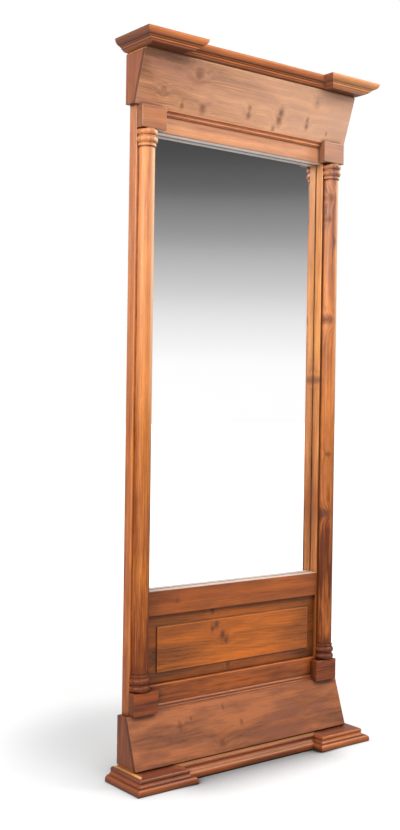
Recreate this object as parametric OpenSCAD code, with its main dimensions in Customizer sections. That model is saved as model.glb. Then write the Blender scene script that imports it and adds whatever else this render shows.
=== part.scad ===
// Pier mirror: a tall framed glass between half-round columns, with a raked
// frieze under a breakfront cornice and a raked plinth on a breakfront base.
// Every piece is drawn with its back on the wall plane y = 0 and its front
// towards -y; plans are written as [x, u], with u the distance from the wall.

/* [Overall] */
// Height from the floor to the top of the cornice
overall_h = 1900; // [1800:5:2000]
// Width over the base and cornice mouldings
overall_w = 812; // [790:2:840]
// Depth from the wall to the front of the base and cornice
overall_d = 151; // [145:1:160]

/* [Frame] */
// Distance from the ends of the cornice and base in to the stiles
frame_inset = 48; // [46:1:56]
// Thickness of the stiles and rails
frame_t = 32; // [28:1:36]
// Width of each stile
stile_w = 60; // [54:1:64]
// Height of the top rail that shows below the frieze
top_rail_h = 64; // [58:1:80]
// Height of the top and bottom rails that the frieze and plinth hide
rail_hidden_h = 40; // [34:1:60]
// Height of the middle rail
middle_rail_h = 66; // [56:1:90]
// Height of the bottom rail that shows above the plinth
bottom_rail_h = 70; // [60:1:90]
// Radius worked along the edges of the frame
edge_r = 2.5; // [1:0.5:3]
// Thickness of the tenons
tenon_t = 10; // [8:1:12]
// Length of the tenons
tenon_l = 38; // [25:1:42]
// Distance from a rail's edge to its tenon
tenon_inset = 13; // [11:1:18]
// Gap left at the end of each tenon
tenon_end_gap = 0.6; // [0.4:0.1:0.9]
// Gap on each side of a piece that slips into another
slip = 0.1; // [0.05:0.05:0.3]

/* [Mirror] */
// Thickness of the mirror glass
glass_t = 3; // [3:0.1:4]
// Width of the frame's lip in front of the glass
glass_lip = 8; // [6:0.5:10]
// Thickness of the back board
back_board_t = 3.2; // [2.4:0.1:4]
// Width of the back board's seat round the opening
back_board_lip = 20; // [18:0.5:24]
// Screws down each side of the back board
side_screw_count = 6; // [3:1:10]
// Screws along the top and bottom of the back board
end_screw_count = 3; // [2:1:5]

/* [Panel] */
// Height of the panel's opening
panel_opening_h = 180; // [140:1:220]
// Thickness of the panel's tongue
panel_tongue_t = 7; // [6:0.5:8]
// Depth of the groove that holds the tongue
panel_groove_d = 8; // [6:0.5:10]
// Room left for the panel to swell in its groove
panel_swell = 0.8; // [0.4:0.1:0.9]
// Thickness of the panel at its field
panel_t = 14; // [13:0.5:18]
// Width of the bevel round the field
panel_bevel_w = 30; // [20:1:36]
// Height of the bevel's slope
panel_bevel_rise = 3.5; // [2.5:0.5:5]
// Distance from the frame's face to the field
panel_set_back = 3; // [2:0.5:5]

/* [Columns and blocks] */
// Height of the square blocks
block_h = 58.5; // [50:0.5:80]
// Width of the square blocks
block_w = 77; // [70:1:84]
// Distance that the blocks stand out past the sides of the frame
block_out = 0; // [0:0.5:3]
// Radius worked along the edges of the blocks
block_edge_r = 2; // [1:0.5:3]
// Thickness of the square blocks
block_t = 26; // [24:1:32]
// Radius of the column's shaft at its foot
shaft_foot_r = 23.5; // [22:0.5:24]
// Radius of the column's shaft at its neck
shaft_neck_r = 22.5; // [21:0.5:24]
// Radius of the beads at both ends of the column
ring_r = 29.5; // [28:0.5:30]
// Height of each bead
ring_h = 17; // [14:0.5:20]
// Height of the groove next to each bead
ring_gap = 3; // [2:0.5:4]
// Radius in the grooves next to the beads
ring_groove_r = 24.5; // [24:0.5:25]
// Height of the fillet between the beads and the shaft
collar_h = 5; // [3:0.5:7]
// Radius of that fillet
collar_r = 25.5; // [25:0.5:27]
// Height of the narrow neck between the fillet and the shaft
neck_h = 3; // [2:0.5:4]
// Depth of that neck below the shaft
neck_d = 1; // [0.5:0.25:1.5]
// Distance from the column's flat back to its axis
column_flat = 2.5; // [1:0.5:6]
// Distance of the column's axis from the outside of its stile
column_in = 30; // [29:0.5:31]

/* [Frieze and plinth] */
// Height of the frieze
frieze_h = 132; // [110:1:150]
// Height of the plinth
plinth_h = 131; // [110:1:150]
// Distance that the frieze and plinth boards lean out
rake = 44; // [38:1:46]
// Thickness of those boards, measured level
board_t = 11.5; // [10:0.5:14]
// Thickness of the cheeks at both sides
cheek_t = 12.5; // [11:0.5:15]
// Bevel along the edges next to the cornice and base
edge_bevel = 4.5; // [3:0.5:6]
// Height of the bead moulding next to the boards
bead_h = 20; // [18:0.5:24]
// Length of the glue blocks behind the boards
glue_block_l = 110; // [60:5:140]
// Distance between the middles of the glue blocks
glue_block_pitch = 230; // [180:5:240]

/* [Cornice] */
// Height of the cornice
cornice_h = 30; // [28:1:34]
// Width of the cornice moulding
cornice_moulding_w = 37; // [36:0.5:40]
// Depth of the break between the middle and the ends
cornice_break = 35; // [30:1:40]
// Width of the projecting ends of the cornice and base
end_w = 188; // [170:1:220]
// Height of the fillet along the top of the cornice
cornice_fillet_h = 4; // [3:0.5:5]

/* [Base] */
// Height of the base
base_h = 36; // [35:1:42]
// Width of the base moulding
base_moulding_w = 45; // [38:0.5:48]
// Depth of the break between the middle and the ends
base_break = 36; // [30:1:40]
// Height of the rounded foot of the base moulding
base_torus_h = 17.5; // [16:0.5:19]

/* [Screws] */
// Radius of the screws through the cornice and base
screw_r = 2.5; // [2:0.25:3]
// Length of those screws
screw_l = 70; // [60:1:80]
// Radius of the screws in the back board
small_screw_r = 1.5; // [1.25:0.25:1.75]
// Length of the screws in the back board
small_screw_l = 14; // [10:1:16]

/* [Hidden] */

// Colours of the stained pine, from the pale frieze to the dark plinth
frieze_brown = "#c19072";
frame_brown = "#a5633c";
column_brown = "#c27a45";
moulding_brown = "#9a5a38";
plinth_brown = "#a05c3c";
plain_pine = "#c9a679";
silver = "#d8dcdf";
hardboard_brown = "#8a6a4c";
zinc = "#b9bcc0";

// Levels
plinth_z1 = base_h + plinth_h;
panel_z0 = plinth_z1 + bottom_rail_h;
panel_z1 = panel_z0 + panel_opening_h;
glass_z0 = panel_z1 + middle_rail_h;
cornice_z0 = overall_h - cornice_h;
frieze_z0 = cornice_z0 - frieze_h;
glass_z1 = frieze_z0 - top_rail_h;
top_rail_z1 = frieze_z0 + rail_hidden_h;
bottom_rail_z0 = plinth_z1 - rail_hidden_h;
foot_block_z0 = plinth_z1 + arris_drop(plinth_h);
foot_block_z1 = foot_block_z0 + block_h;
cap_block_z0 = frieze_z0 - arris_drop(frieze_h) - block_h;

// Plan sizes
frame_w = overall_w - 2 * frame_inset;
frame_x = frame_w / 2;
opening_x = frame_x - stile_w;
box_x = frame_x + cheek_t;
overall_x = overall_w / 2;
end_x = overall_x - end_w;
block_x1 = frame_x + block_out;
block_x0 = block_x1 - block_w;
glass_u = back_board_t + slip + glass_t + slip;
tenon_u = (frame_t - tenon_t) / 2;
panel_face_u = frame_t - panel_set_back;
panel_back_u = panel_face_u - panel_t;
column_x = frame_x - column_in;
column_u = frame_t + column_flat;
cornice_middle_d = overall_d - cornice_break;
base_middle_d = overall_d - base_break;

// Room past a cut, so that no two faces of it lie on one plane
over = 1;
// Steps in a small rounding and in a moulding's curve
edge_steps = 3;
curve_steps = 8;
$fn = 96;

// ---- curves ----

// Points from p to q along an arc that rises by the given height; a positive
// rise bends to the right of the way from p to q
function bow(p, q, rise, steps = curve_steps) =
  let (chord = norm(q - p), along = (q - p) / chord, across = [along[1], -along[0]])
  let (r = (chord * chord / 4 + rise * rise) / (2 * abs(rise)), half = asin(chord / 2 / r))
  [for (i = [0 : steps])
    let (a = -half + 2 * half * i / steps)
    (p + q) / 2 + along * r * sin(a) + across * sign(rise) * (r * cos(a) - r * cos(half))];

// Outline of a rectangle with rounded corners, round from the one at x1, y1
function eased_outline(x0, y0, x1, y1, r) =
  let (centres = [[x1 - r, y1 - r], [x0 + r, y1 - r], [x0 + r, y0 + r], [x1 - r, y0 + r]])
  [for (quarter = [0 : 3])
    for (i = [0 : edge_steps])
      let (a = 90 * (quarter + i / edge_steps))
      centres[quarter] + r * [cos(a), sin(a)]];

// Cornice moulding as [distance behind the nose, height]: fillet, ovolo,
// quirk, small bead, ovolo
function cornice_shape() =
  let (h = cornice_h, w = cornice_moulding_w, top = h - cornice_fillet_h)
  concat(
    [[w, 0], [w, h], [0, h], [0, top]],
    [for (p = bow([0.6, top - 0.4], [12.5, h - 16.8], 2.4)) p],
    [[13.3, h - 16.8]],
    [for (p = bow([13.3, h - 17.2], [17.4, h - 19.6], 0.7, 4)) p],
    [[18.4, h - 19.6]],
    [for (p = bow([18.4, h - 20.2], [21.6, h - 24.6], 0.9, 4)) p],
    [[22.3, h - 24.6]],
    [for (p = bow([22.3, h - 25], [34, 0], 1.2)) p]);

// Base moulding as [distance behind the nose, height]: torus, step, cove,
// small bead
function base_shape() =
  let (h = base_h, w = base_moulding_w, shoulder = base_torus_h)
  concat(
    [[1.5, 0], [w, 0], [w, h], [19, h], [18.2, h - 0.8]],
    [for (p = bow([18.2, h - 1.2], [16.6, h - 8.4], 1.4, 5)) p],
    [[17.2, h - 8.8]],
    [for (p = bow([17.2, h - 9.4], [11.8, shoulder + 1.6], -1.4)) p],
    [[11.8, shoulder + 0.4], [6.4, shoulder]],
    [for (p = bow([6.2, shoulder], [0, shoulder - 10.5], 2)) p],
    [[0, 1.8]]);

// Front arris of a raked board's square edge: how far it stands in front of
// the frame, and how far it drops past the edge's back
function arris_d(h) = board_t * h * h / (h * h + rake * rake);
function arris_drop(h) = arris_d(h) * rake / h;

// Bead moulding as [distance in front of the frame, distance from the board]:
// fillet, groove, bead and hollow
function bead_shape(h) =
  let (d = arris_d(h), top = arris_drop(h), low = bead_h)
  concat(
    [[0, 0], [d, top], [d, top + 2.6], [d - 2.8, top + 3.6], [d - 2.8, top + 5.2]],
    [for (p = bow([d - 2.2, top + 5.6], [d - 3.6, low - 3.6], -2.4)) p],
    [[d - 5.4, low - 3.2]],
    [for (p = bow([d - 5.8, low - 2.8], [0, low], 1.2, 4)) p]);

// Outline of one bead of a column as [radius, height]
function ring_outline(z) =
  bow([ring_groove_r, z], [ring_groove_r, z + ring_h], ring_r - ring_groove_r, 12);

// Outline of a column's foot, up from its end: two beads, a fillet and a neck
function column_foot(shaft_r) =
  let (z = 2 * (ring_h + ring_gap), neck_z = z + collar_h + neck_h)
  concat(
    [[ring_groove_r, 0]], ring_outline(ring_gap / 4), ring_outline(ring_h + ring_gap),
    [[ring_groove_r, z - 1], [collar_r, z], [collar_r, z + collar_h]],
    [[shaft_r - neck_d, z + collar_h + 0.5]],
    bow([shaft_r - neck_d, neck_z - 1], [shaft_r, neck_z + 2 * neck_d], -neck_d / 4, 3));

// ---- helpers ----

// Mirrors a right-hand piece for the left side
module on_side(side) {
  if (side > 0) children();
  else mirror([1, 0, 0]) children();
}

// Moves pieces from the wall plane to the middle of the footprint
module from_wall() {
  translate([0, overall_d / 2, 0]) children();
}

// Prism from x0 to x1 with an outline in [u, z]
module slab(x0, x1, outline) {
  translate([x0, 0, 0]) rotate([90, 0, 90]) linear_extrude(x1 - x0)
    polygon([for (p = outline) [-p[0], p[1]]]);
}

// Prism from z0 to z1 with an outline in [x, u]
module upright(z0, z1, outline) {
  translate([0, 0, z0]) linear_extrude(z1 - z0)
    polygon([for (p = outline) [p[0], -p[1]]]);
}

// Box between two corners in [x, u, z]
module block(low, high) {
  translate([low[0], -high[1], low[2]]) cube([high[0] - low[0], high[1] - low[1], high[2] - low[2]]);
}

// Box with every edge rounded
module eased_block(low, high, r) {
  intersection() {
    upright(low[2], high[2], eased_outline(low[0], low[1], high[0], high[1], r));
    slab(low[0] - over, high[0] + over, eased_outline(low[1], low[2], high[1], high[2], r));
    translate([0, -low[1] + over, 0]) rotate([90, 0, 0]) linear_extrude(high[1] - low[1] + 2 * over)
      polygon(eased_outline(low[0], low[2], high[0], high[2], r));
  }
}

// Length of moulding that faces the front turned by an angle, cut to a plan
// whose mitres meet the next length
module moulding(shape, facing, nose, plan, z0) {
  intersection() {
    rotate([0, 0, facing]) slab(-overall_w, overall_w, [for (p = shape) [nose - p[0], z0 + p[1]]]);
    upright(z0 - over, z0 + cornice_h + base_h, plan);
  }
}

// Countersunk screw, head up, with its head's face at the origin
module screw(r, l, gap = 0) {
  head_r = 2 * r;
  rotate([180, 0, 0]) rotate_extrude()
    polygon([[0, 0], [head_r + gap, 0], [r + gap, head_r - r], [r + gap, l - r], [0, l]]);
}

// ---- frame ----

module mirror_pocket() {
  clear = glass_lip + slip;
  block([-opening_x - clear, -over, glass_z0 - clear], [opening_x + clear, glass_u, glass_z1 + clear]);
  block([-opening_x - back_board_lip - slip, -over, glass_z0 - back_board_lip - slip],
    [opening_x + back_board_lip + slip, back_board_t + slip, glass_z1 + back_board_lip + slip]);
}

module panel_groove() {
  block([-opening_x - panel_groove_d, panel_back_u - slip, panel_z0 - panel_groove_d],
    [opening_x + panel_groove_d, panel_back_u + panel_tongue_t + slip, panel_z1 + panel_groove_d]);
}

module tenon_room(z0, z1, gap, end_gap) {
  block([opening_x - over, tenon_u - gap, z0 + tenon_inset - gap],
    [opening_x + tenon_l + end_gap, tenon_u + tenon_t + gap, z1 - tenon_inset + gap]);
}

module stile(side) {
  color(frame_brown) on_side(side) difference() {
    upright(base_h, cornice_z0, eased_outline(opening_x, 0, frame_x, frame_t, edge_r));
    mirror_pocket();
    panel_groove();
    for (rail = [[bottom_rail_z0, panel_z0], [panel_z1, glass_z0], [glass_z1, top_rail_z1]])
      tenon_room(rail[0], rail[1], slip, tenon_end_gap);
    fixing_screws(0);
    board_screws(0);
  }
}

module rail(z0, z1) {
  color(frame_brown) difference() {
    union() {
      slab(-opening_x, opening_x, eased_outline(0, z0, frame_t, z1, edge_r));
      for (side = [-1, 1]) on_side(side) tenon_room(z0, z1, 0, 0);
    }
    mirror_pocket();
    panel_groove();
    board_screws(0);
  }
}

// ---- panel, glass and back ----

// Section of the panel across one of its two directions, as [place, u]
function panel_section(a0, a1) =
  let (tongue = panel_groove_d - panel_swell, face = panel_face_u)
  let (low = panel_back_u + panel_tongue_t, brow = low + panel_bevel_rise)
  [[a0 - tongue, panel_back_u], [a1 + tongue, panel_back_u], [a1 + tongue, low], [a1, low],
   [a1 - panel_bevel_w, brow], [a1 - panel_bevel_w, face], [a0 + panel_bevel_w, face],
   [a0 + panel_bevel_w, brow], [a0, low], [a0 - tongue, low]];

module raised_panel() {
  color(frame_brown) intersection() {
    upright(panel_z0 - panel_groove_d - over, panel_z1 + panel_groove_d + over,
      panel_section(-opening_x, opening_x));
    slab(-frame_x, frame_x, [for (p = panel_section(panel_z0, panel_z1)) [p[1], p[0]]]);
  }
}

module mirror_glass() {
  color(silver) block([-opening_x - glass_lip, back_board_t + 2 * slip, glass_z0 - glass_lip],
    [opening_x + glass_lip, glass_u, glass_z1 + glass_lip]);
}

// Small screws round the edge of the back board
module board_screws(gap) {
  at_x = opening_x + (glass_lip + back_board_lip) / 2;
  low = glass_z0 - (glass_lip + back_board_lip) / 2;
  high = glass_z1 + (glass_lip + back_board_lip) / 2;
  side_pitch = (high - low) / (side_screw_count + 1);
  end_pitch = 2 * at_x / (end_screw_count + 1);
  for (x = [-at_x, at_x]) for (i = [1 : side_screw_count])
    translate([x, 0, low + i * side_pitch]) rotate([-90, 0, 0]) screw(small_screw_r, small_screw_l, gap);
  for (z = [low, high]) for (i = [1 : end_screw_count])
    translate([-at_x + i * end_pitch, 0, z]) rotate([-90, 0, 0]) screw(small_screw_r, small_screw_l, gap);
}

module back_board() {
  color(hardboard_brown) difference() {
    block([-opening_x - back_board_lip, 0, glass_z0 - back_board_lip],
      [opening_x + back_board_lip, back_board_t, glass_z1 + back_board_lip]);
    board_screws(slip);
  }
}

// ---- columns and blocks ----

module column(side) {
  length = cap_block_z0 - foot_block_z1;
  foot = column_foot(shaft_foot_r);
  head = column_foot(shaft_neck_r);
  last = len(head) - 1;
  outline = concat(
    [[0, 0]], foot, [for (i = [last : -1 : 0]) [head[i][0], length - head[i][1]]], [[0, length]]);
  color(column_brown) on_side(side) difference() {
    translate([column_x, -column_u, foot_block_z1]) rotate_extrude() polygon(outline);
    block([0, column_u - 2 * ring_r, foot_block_z1 - over], [frame_w, frame_t, cap_block_z0 + over]);
  }
}

module square_block(side, z0) {
  color(column_brown) on_side(side)
    eased_block([block_x0, frame_t, z0], [block_x1, frame_t + block_t, z0 + block_h], block_edge_r);
}

// ---- frieze and plinth ----

// Distance from the wall to the back of a raked board, at a height above its
// narrow end
function behind_board(height, h) = frame_t + rake * height / h;

// Bevel cut along the wide end of a raked board or cheek, at height h above
// the narrow end
module end_bevels(h) {
  for (side = [-1, 1]) on_side(side)
    translate([box_x, over, h]) rotate([90, 0, 0]) linear_extrude(overall_d)
      polygon([[-edge_bevel, over / 2], [-edge_bevel, 0], [0, -edge_bevel], [over / 2, -edge_bevel],
        [over / 2, over / 2]]);
}

// Raked board, standing on its narrow end, which is cut square to its faces
module raked_board(h) {
  back = frame_t + rake;
  front = back + board_t;
  bevel_u = front - rake * edge_bevel / h;
  difference() {
    slab(-box_x, box_x, [[frame_t, 0], [frame_t + arris_d(h), -arris_drop(h)],
      [bevel_u, h - edge_bevel], [front - edge_bevel, h], [back, h]]);
    end_bevels(h);
  }
}

module cheek(h) {
  difference() {
    slab(frame_x, box_x, [[0, 0], [frame_t, 0], [frame_t + rake, h], [0, h]]);
    end_bevels(h);
  }
}

// Blocks glued in the corner behind a raked board, and to the rail at their foot
module glue_blocks(h) {
  foot = h / 4;
  for (i = [-1 : 1])
    slab(i * glue_block_pitch - glue_block_l / 2, i * glue_block_pitch + glue_block_l / 2,
      [[frame_t, foot], [behind_board(foot, h), foot], [behind_board(h, h), h], [frame_t, h]]);
}

module bead(h) {
  slab(-block_x0, block_x0, [for (p = bead_shape(h)) [frame_t + p[0], p[1]]]);
}

// Sets a piece of the frieze, drawn from its narrow end up
module at_frieze() {
  translate([0, 0, frieze_z0]) children();
}

// Sets a piece of the plinth, drawn from its narrow end, upside down
module at_plinth() {
  translate([0, 0, plinth_z1]) mirror([0, 0, 1]) children();
}

// ---- cornice and base ----

// Plans of the mitred lengths of a breakfront moulding on the right side,
// from the moulding's width w and the middle's depth d
function side_plan(w, d) =
  [[overall_x, 0], [overall_x, overall_d], [overall_x - w, overall_d - w], [overall_x - w, 0]];
function front_plan(w, d) =
  [[end_x, overall_d], [overall_x, overall_d], [overall_x - w, overall_d - w], [end_x + w, overall_d - w]];
function return_plan(w, d) =
  [[end_x, d], [end_x, overall_d], [end_x + w, overall_d - w], [end_x + w, d - w]];
function middle_plan(w, d) =
  [[-end_x, d], [end_x, d], [end_x + w, d - w], [-end_x - w, d - w]];

module side_moulding(side, shape, w, d, z0) {
  color(moulding_brown) on_side(side) moulding(shape, 90, overall_x, side_plan(w, d), z0);
}

module front_moulding(side, shape, w, d, z0) {
  color(moulding_brown) on_side(side) moulding(shape, 0, overall_d, front_plan(w, d), z0);
}

module return_moulding(side, shape, w, d, z0) {
  color(moulding_brown) on_side(side) moulding(shape, -90, -end_x, return_plan(w, d), z0);
}

module middle_moulding(shape, w, d, z0) {
  color(moulding_brown) moulding(shape, 0, d, middle_plan(w, d), z0);
}

// Board behind the middle moulding
module core_board(w, d, z0, z1) {
  color(plain_pine) difference() {
    block([w - overall_x, 0, z0], [overall_x - w, d - w, z1]);
    fixing_screws(slip);
  }
}

// Packing behind the mouldings of one projecting end
module packing(side, w, d, z0, z1) {
  color(moulding_brown) on_side(side)
    block([end_x + w, d - w, z0], [overall_x - w, overall_d - w, z1]);
}

// Screws through the cornice and base boards into the ends of the stiles
module cornice_fixings(gap) {
  for (side = [-1, 1]) on_side(side)
    translate([frame_x - stile_w / 4, -frame_t / 2, overall_h]) screw(screw_r, screw_l, gap);
}

module base_fixings(gap) {
  for (side = [-1, 1]) on_side(side)
    translate([frame_x - stile_w / 4, -frame_t / 2, 0]) mirror([0, 0, 1]) screw(screw_r, screw_l, gap);
}

module fixing_screws(gap) {
  cornice_fixings(gap);
  base_fixings(gap);
}

// ---- pieces ----

from_wall() stile(-1);  // left_stile
from_wall() stile(1);  // right_stile
from_wall() rail(glass_z1, top_rail_z1);  // top_rail
from_wall() rail(panel_z1, glass_z0);  // middle_rail
from_wall() rail(bottom_rail_z0, panel_z0);  // bottom_rail
from_wall() raised_panel();
from_wall() mirror_glass();
from_wall() back_board();
from_wall() color(zinc) board_screws(0);  // back_board_screws
from_wall() column(-1);  // left_column
from_wall() column(1);  // right_column
from_wall() square_block(-1, cap_block_z0);  // left_cap_block
from_wall() square_block(1, cap_block_z0);  // right_cap_block
from_wall() square_block(-1, foot_block_z0);  // left_foot_block
from_wall() square_block(1, foot_block_z0);  // right_foot_block

from_wall() at_frieze() color(frieze_brown) raked_board(frieze_h);  // frieze_board
from_wall() at_frieze() color(frieze_brown) on_side(-1) cheek(frieze_h);  // left_frieze_cheek
from_wall() at_frieze() color(frieze_brown) on_side(1) cheek(frieze_h);  // right_frieze_cheek
from_wall() at_frieze() color(plain_pine) glue_blocks(frieze_h);  // frieze_glue_blocks
from_wall() at_frieze() mirror([0, 0, 1]) color(moulding_brown) bead(frieze_h);  // frieze_bead
from_wall() at_plinth() color(plinth_brown) raked_board(plinth_h);  // plinth_board
from_wall() at_plinth() color(plinth_brown) on_side(-1) cheek(plinth_h);  // left_plinth_cheek
from_wall() at_plinth() color(plinth_brown) on_side(1) cheek(plinth_h);  // right_plinth_cheek
from_wall() at_plinth() color(plain_pine) glue_blocks(plinth_h);  // plinth_glue_blocks
from_wall() at_plinth() mirror([0, 0, 1]) color(moulding_brown) bead(plinth_h);  // plinth_bead

from_wall() core_board(cornice_moulding_w, cornice_middle_d, cornice_z0, overall_h);  // cornice_board
from_wall() packing(-1, cornice_moulding_w, cornice_middle_d, cornice_z0, overall_h);  // left_cornice_packing
from_wall() packing(1, cornice_moulding_w, cornice_middle_d, cornice_z0, overall_h);  // right_cornice_packing
from_wall() middle_moulding(cornice_shape(), cornice_moulding_w, cornice_middle_d, cornice_z0);  // cornice_middle_moulding
from_wall() front_moulding(-1, cornice_shape(), cornice_moulding_w, cornice_middle_d, cornice_z0);  // left_cornice_front_moulding
from_wall() front_moulding(1, cornice_shape(), cornice_moulding_w, cornice_middle_d, cornice_z0);  // right_cornice_front_moulding
from_wall() side_moulding(-1, cornice_shape(), cornice_moulding_w, cornice_middle_d, cornice_z0);  // left_cornice_side_moulding
from_wall() side_moulding(1, cornice_shape(), cornice_moulding_w, cornice_middle_d, cornice_z0);  // right_cornice_side_moulding
from_wall() return_moulding(-1, cornice_shape(), cornice_moulding_w, cornice_middle_d, cornice_z0);  // left_cornice_return
from_wall() return_moulding(1, cornice_shape(), cornice_moulding_w, cornice_middle_d, cornice_z0);  // right_cornice_return
from_wall() color(zinc) cornice_fixings(0);  // cornice_screws

from_wall() core_board(base_moulding_w, base_middle_d, 0, base_h);  // base_board
from_wall() packing(-1, base_moulding_w, base_middle_d, 0, base_h);  // left_base_packing
from_wall() packing(1, base_moulding_w, base_middle_d, 0, base_h);  // right_base_packing
from_wall() middle_moulding(base_shape(), base_moulding_w, base_middle_d, 0);  // base_middle_moulding
from_wall() front_moulding(-1, base_shape(), base_moulding_w, base_middle_d, 0);  // left_base_front_moulding
from_wall() front_moulding(1, base_shape(), base_moulding_w, base_middle_d, 0);  // right_base_front_moulding
from_wall() side_moulding(-1, base_shape(), base_moulding_w, base_middle_d, 0);  // left_base_side_moulding
from_wall() side_moulding(1, base_shape(), base_moulding_w, base_middle_d, 0);  // right_base_side_moulding
from_wall() return_moulding(-1, base_shape(), base_moulding_w, base_middle_d, 0);  // left_base_return
from_wall() return_moulding(1, base_shape(), base_moulding_w, base_middle_d, 0);  // right_base_return
from_wall() color(zinc) base_fixings(0);  // base_screws
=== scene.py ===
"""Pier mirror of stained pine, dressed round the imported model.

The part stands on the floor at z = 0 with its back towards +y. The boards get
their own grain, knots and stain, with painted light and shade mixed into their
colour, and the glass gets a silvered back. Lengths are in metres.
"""

import math

import bmesh
import bpy
from mathutils import Matrix, Vector


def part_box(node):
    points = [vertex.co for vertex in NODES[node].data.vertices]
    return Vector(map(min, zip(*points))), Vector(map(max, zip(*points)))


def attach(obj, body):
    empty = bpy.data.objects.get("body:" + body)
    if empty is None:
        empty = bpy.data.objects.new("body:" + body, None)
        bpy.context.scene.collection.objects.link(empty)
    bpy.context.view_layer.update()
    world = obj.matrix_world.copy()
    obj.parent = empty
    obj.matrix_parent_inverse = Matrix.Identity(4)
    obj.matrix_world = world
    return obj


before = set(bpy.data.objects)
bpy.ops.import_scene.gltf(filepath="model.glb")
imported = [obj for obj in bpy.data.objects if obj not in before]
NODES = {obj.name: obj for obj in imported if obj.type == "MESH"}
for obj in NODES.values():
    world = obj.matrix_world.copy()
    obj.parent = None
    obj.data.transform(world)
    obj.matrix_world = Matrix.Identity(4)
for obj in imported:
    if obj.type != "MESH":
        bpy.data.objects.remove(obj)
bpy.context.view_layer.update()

# ---------------------------------------------------------------- camera

PHOTO_SIZE = (400, 830)
CAMERA_PLACE = (-1.971, -2.3295, 0.992)
CAMERA_TURN = math.radians(-37.74)
CAMERA_PITCH = math.radians(-0.70)
CAMERA_ROLL = math.radians(0.84)
FOCAL_PIXELS = 1119.0
OPTICAL_CENTRE = (201.7, 410.4)
SENSOR_MM = 36.0


def add_camera():
    """Stands the camera where the photograph was taken from."""
    forward = Vector((
        -math.sin(CAMERA_TURN) * math.cos(CAMERA_PITCH),
        math.cos(CAMERA_TURN) * math.cos(CAMERA_PITCH),
        math.sin(CAMERA_PITCH),
    ))
    level = Vector((math.cos(CAMERA_TURN), math.sin(CAMERA_TURN), 0.0))
    upright = level.cross(forward)
    right = level * math.cos(CAMERA_ROLL) + upright * math.sin(CAMERA_ROLL)
    up = upright * math.cos(CAMERA_ROLL) - level * math.sin(CAMERA_ROLL)
    lens = bpy.data.cameras.new("camera")
    lens.sensor_width = SENSOR_MM
    lens.lens = SENSOR_MM * FOCAL_PIXELS / PHOTO_SIZE[1]
    lens.shift_x = (PHOTO_SIZE[0] / 2 - OPTICAL_CENTRE[0]) / PHOTO_SIZE[1]
    lens.shift_y = (OPTICAL_CENTRE[1] - PHOTO_SIZE[1] / 2) / PHOTO_SIZE[1]
    camera = bpy.data.objects.new("camera", lens)
    turn = Matrix((right, up, -forward)).transposed().to_4x4()
    camera.matrix_world = Matrix.Translation(CAMERA_PLACE) @ turn
    bpy.context.scene.collection.objects.link(camera)
    bpy.context.scene.camera = camera


add_camera()

# ---------------------------------------------------------------- node help

NODE_SPACING = 220
FLOAT = "NodeSocketFloat"
VECTOR = "NodeSocketVector"
WHITE = (1.0, 1.0, 1.0, 1.0)


class Nodes:
    """Adds and joins the nodes of one tree, from left to right."""

    def __init__(self, tree):
        self.tree = tree
        self.column = 0

    def add(self, kind, inputs=(), **settings):
        node = self.tree.nodes.new(kind)
        node.location = (NODE_SPACING * self.column, 0)
        self.column += 1
        for name, value in settings.items():
            setattr(node, name, value)
        for key, value in dict(inputs).items():
            socket = node.inputs[key]
            if isinstance(value, bpy.types.NodeSocket):
                self.tree.links.new(value, socket)
            else:
                socket.default_value = value
        return node

    def group(self, tree, inputs):
        return self.add("ShaderNodeGroup", inputs, node_tree=tree).outputs

    def send(self, node, values):
        """Joins values to the inputs of a node by their labels."""
        for label, value in values.items():
            self.tree.links.new(value, node.inputs[label])

    def output(self, shader, kind="ShaderNodeOutputMaterial"):
        self.tree.links.new(shader.outputs[0], self.add(kind).inputs[0])

    def split(self, vector):
        return self.add("ShaderNodeSeparateXYZ", {0: vector}).outputs

    def math(self, operation, *values, clamp=False):
        inputs = dict(enumerate(values))
        return self.add("ShaderNodeMath", inputs, operation=operation, use_clamp=clamp).outputs[0]

    def centred(self, noise):
        return self.math("SUBTRACT", noise, 0.5)

    def vector(self, operation, *values):
        """A vector, or a number where the operation gives one."""
        inputs = dict(enumerate(values))
        outputs = self.add("ShaderNodeVectorMath", inputs, operation=operation).outputs
        gives_number = operation in ("LENGTH", "DISTANCE", "DOT_PRODUCT")
        return outputs["Value"] if gives_number else outputs[0]

    def remap(self, value, low, high, to_low=0.0, to_high=1.0, smooth=True):
        kind = "SMOOTHSTEP" if smooth else "LINEAR"
        inputs = {0: value, 1: low, 2: high, 3: to_low, 4: to_high}
        return self.add("ShaderNodeMapRange", inputs, interpolation_type=kind).outputs[0]

    def near(self, value, target, full, none, share=1.0):
        """The share where a value lies within full of a target, and 0 beyond none of it."""
        off = self.math("ABSOLUTE", self.math("SUBTRACT", value, target))
        return self.remap(off, full, none, share, 0.0)

    def mix(self, amount, first, second):
        return self.add("ShaderNodeMix", {0: amount, 6: first, 7: second}, data_type="RGBA").outputs[2]

    def noise(self, place, stretch, detail, roughness=0.5):
        """Noise with its own scale along x, y and z: its value, then its colour."""
        spot = self.vector("MULTIPLY", place, stretch)
        return self.add("ShaderNodeTexNoise", {"Vector": spot, "Scale": 1.0, "Detail": detail,
                                               "Roughness": roughness}).outputs


def new_group(name, inputs, outputs):
    """A shader node group, its node helper, and its input and output nodes."""
    tree = bpy.data.node_groups.new(name, "ShaderNodeTree")
    for label, kind, value in inputs:
        socket = tree.interface.new_socket(label, in_out="INPUT", socket_type=kind)
        if value is not None:
            socket.default_value = value
    for label, kind in outputs:
        tree.interface.new_socket(label, in_out="OUTPUT", socket_type=kind)
    nodes = Nodes(tree)
    entry = nodes.add("NodeGroupInput").outputs
    leave = tree.nodes.new("NodeGroupOutput")
    return tree, nodes, entry, leave


def new_material(name):
    """An empty material and its node helper."""
    material = bpy.data.materials.new(name)
    material.use_nodes = True
    material.node_tree.nodes.clear()
    return material, Nodes(material.node_tree)


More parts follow.
